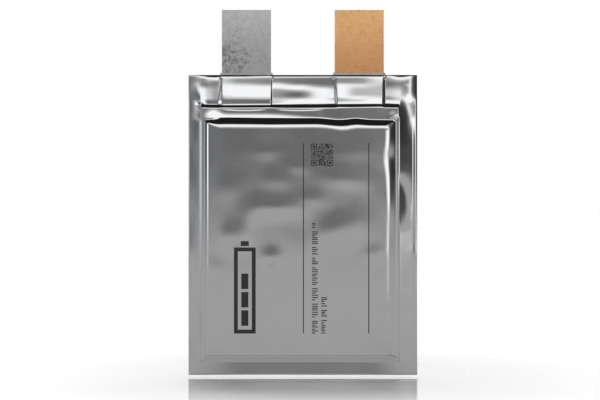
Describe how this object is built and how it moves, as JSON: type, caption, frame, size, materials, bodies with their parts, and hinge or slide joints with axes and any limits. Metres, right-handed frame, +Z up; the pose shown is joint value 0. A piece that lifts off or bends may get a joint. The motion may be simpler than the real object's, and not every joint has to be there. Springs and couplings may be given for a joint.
{
  "type": "lithium pouch battery cell",
  "caption": "Flat rectangular lithium pouch cell: drawn foil pouch sealed round an electrode stack, with an aluminium and a copper strip tab leaving its top edge.",
  "frame": {"origin": "middle of the pouch's bottom edge, on the plane where its two shells are sealed together", "axes": "+X across the cell from the positive (aluminium) tab to the negative (copper) tab, +Y through the thickness from front to back, +Z up the cell towards the tabs; the front faces -Y"},
  "size_m": [0.0804, 0.0076, 0.1285],
  "materials": {
    "pouch_laminate": "bright mirror-like aluminium under a clear nylon film, softly rippled",
    "tab_aluminium": "rolled, matt, faintly smudged",
    "tab_copper": null,
    "sealant_film": "translucent off-white polypropylene",
    "cathode": "black calendered coating on aluminium foil, with a bare foil tail",
    "anode": "dull grey lithium on copper foil, with a bare foil tail",
    "separator_film": "white, matt, microporous",
    "weld_tape": "amber polyimide tape",
    "stack_tape": "green polyester tape"
  },
  "bodies": {
    "cell": {"front_pouch_shell": "pouch_laminate", "back_pouch_shell": "pouch_laminate", "positive_tab_root": "tab_aluminium", "positive_tab_film_front": "sealant_film", "positive_tab_film_back": "sealant_film", "positive_tab_weld_tape_front": "weld_tape", "positive_tab_weld_tape_back": "weld_tape", "negative_tab_root": "tab_copper", "negative_tab_film_front": "sealant_film", "negative_tab_film_back": "sealant_film", "negative_tab_weld_tape_front": "weld_tape", "negative_tab_weld_tape_back": "weld_tape", "anode_01": "anode", "anode_02": "anode", "anode_03": "anode", "anode_04": "anode", "anode_05": "anode", "anode_06": "anode", "anode_07": "anode", "anode_08": "anode", "anode_09": "anode", "anode_10": "anode", "anode_11": "anode", "anode_12": "anode", "anode_13": "anode", "anode_14": "anode", "anode_15": "anode", "anode_16": "anode", "anode_17": "anode", "anode_18": "anode", "anode_19": "anode", "anode_20": "anode", "anode_21": "anode", "cathode_01": "cathode", "cathode_02": "cathode", "cathode_03": "cathode", "cathode_04": "cathode", "cathode_05": "cathode", "cathode_06": "cathode", "cathode_07": "cathode", "cathode_08": "cathode", "cathode_09": "cathode", "cathode_10": "cathode", "cathode_11": "cathode", "cathode_12": "cathode", "cathode_13": "cathode", "cathode_14": "cathode", "cathode_15": "cathode", "cathode_16": "cathode", "cathode_17": "cathode", "cathode_18": "cathode", "cathode_19": "cathode", "cathode_20": "cathode", "separator": "separator_film", "left_stack_tape": "stack_tape", "right_stack_tape": "stack_tape", "bottom_left_stack_tape": "stack_tape", "bottom_right_stack_tape": "stack_tape"},
    "positive_tab": {"positive_tab_blade": "tab_aluminium"},
    "negative_tab": {"negative_tab_blade": "tab_copper"}
  },
  "joints": [
    {"name": "positive_tab_bend", "type": "hinge", "parent": "cell", "child": "positive_tab", "pos_m": [-0.01985, 0, 0.1072], "axis": [1, 0, 0], "range_deg": [-90, 90]},
    {"name": "negative_tab_bend", "type": "hinge", "parent": "cell", "child": "negative_tab", "pos_m": [0.01985, 0, 0.1072], "axis": [1, 0, 0], "range_deg": [-90, 90]}
  ]
}
